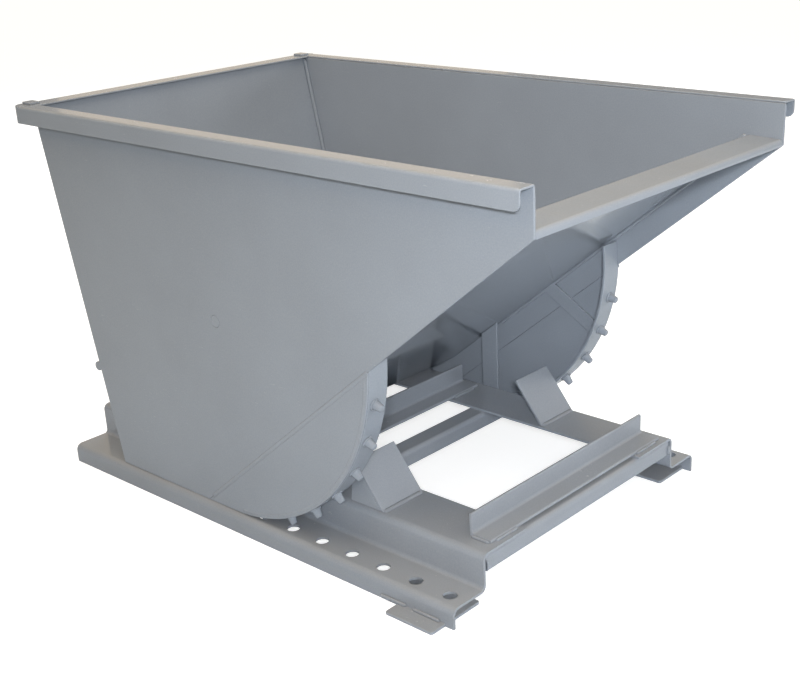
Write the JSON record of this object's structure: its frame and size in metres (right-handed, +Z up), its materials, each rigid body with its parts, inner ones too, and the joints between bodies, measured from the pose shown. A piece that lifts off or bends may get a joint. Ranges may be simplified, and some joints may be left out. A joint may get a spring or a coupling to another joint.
{
  "type": "self-dumping hopper",
  "caption": "Open steel hopper with sloped chute and half-round rockers that rolls forward on a low fork-truck base to dump; pins on the rockers engage holes in the rails.",
  "frame": {"origin": "on the floor under the middle of the bounding box", "axes": "+X towards the chute lip, the side it dumps over; +Y across to its left; +Z up"},
  "size_m": [1.31, 0.852, 0.8075],
  "materials": {
    "bin_enamel": "gloss",
    "frame_enamel": "gloss",
    "zinc": "satin"
  },
  "bodies": {
    "base": {"foot_pad_left": "frame_enamel", "foot_pad_right": "frame_enamel", "front_angle": "frame_enamel", "front_channel": "frame_enamel", "latch_bush_left": "zinc", "latch_bush_right": "zinc", "latch_pin": "zinc", "latch_post_left": "frame_enamel", "latch_post_right": "frame_enamel", "latch_split_pin": "zinc", "latch_washer": "zinc", "middle_angle": "frame_enamel", "middle_channel": "frame_enamel", "rail_left": "frame_enamel", "rail_right": "frame_enamel", "rear_angle": "frame_enamel", "rear_channel": "frame_enamel", "stop_plate_left": "frame_enamel", "stop_plate_right": "frame_enamel", "stop_rib_left": "frame_enamel", "stop_rib_right": "frame_enamel"},
    "rocker_centre": {"centre_plug_left": "bin_enamel", "centre_plug_right": "bin_enamel"},
    "hopper": {"side_sheet_left": "bin_enamel", "side_sheet_right": "bin_enamel", "rocker_plate_left": "bin_enamel", "rocker_plate_right": "bin_enamel", "rocker_strip_left": "bin_enamel", "rocker_strip_right": "bin_enamel", "rocker_pins_left": "bin_enamel", "rocker_pins_right": "bin_enamel", "side_rim_left": "bin_enamel", "side_rim_right": "bin_enamel", "rim_corner_left": "bin_enamel", "rim_corner_right": "bin_enamel", "corner_pad_left": "bin_enamel", "corner_pad_right": "bin_enamel", "brace_angle_left": "bin_enamel", "brace_angle_right": "bin_enamel", "diagonal_brace_left": "bin_enamel", "diagonal_brace_right": "bin_enamel", "floor_sheet": "bin_enamel", "rear_sheet": "bin_enamel", "back_rim": "bin_enamel", "striker_bar": "bin_enamel", "striker_lugs": "bin_enamel"},
    "latch": {"latch_hook": "frame_enamel", "latch_handle": "frame_enamel"}
  },
  "joints": [
    {"name": "tip", "type": "hinge", "parent": "rocker_centre", "child": "hopper", "pos_m": [-0.104, 0, 0.441], "axis": [0, 1, 0], "range_deg": [0, 80]},
    {"name": "roll", "type": "slide", "parent": "base", "child": "rocker_centre", "axis": [1, 0, 0], "range_m": [0, 0.55926]},
    {"name": "latch_swing", "type": "hinge", "parent": "base", "child": "latch", "pos_m": [-0.601, 0, 0.19], "axis": [0, 1, 0], "range_deg": [0, 22]}
  ],
  "couplings": [
    {"joint": "roll", "follows": "tip", "m_per_rad": 0.4004}
  ]
}
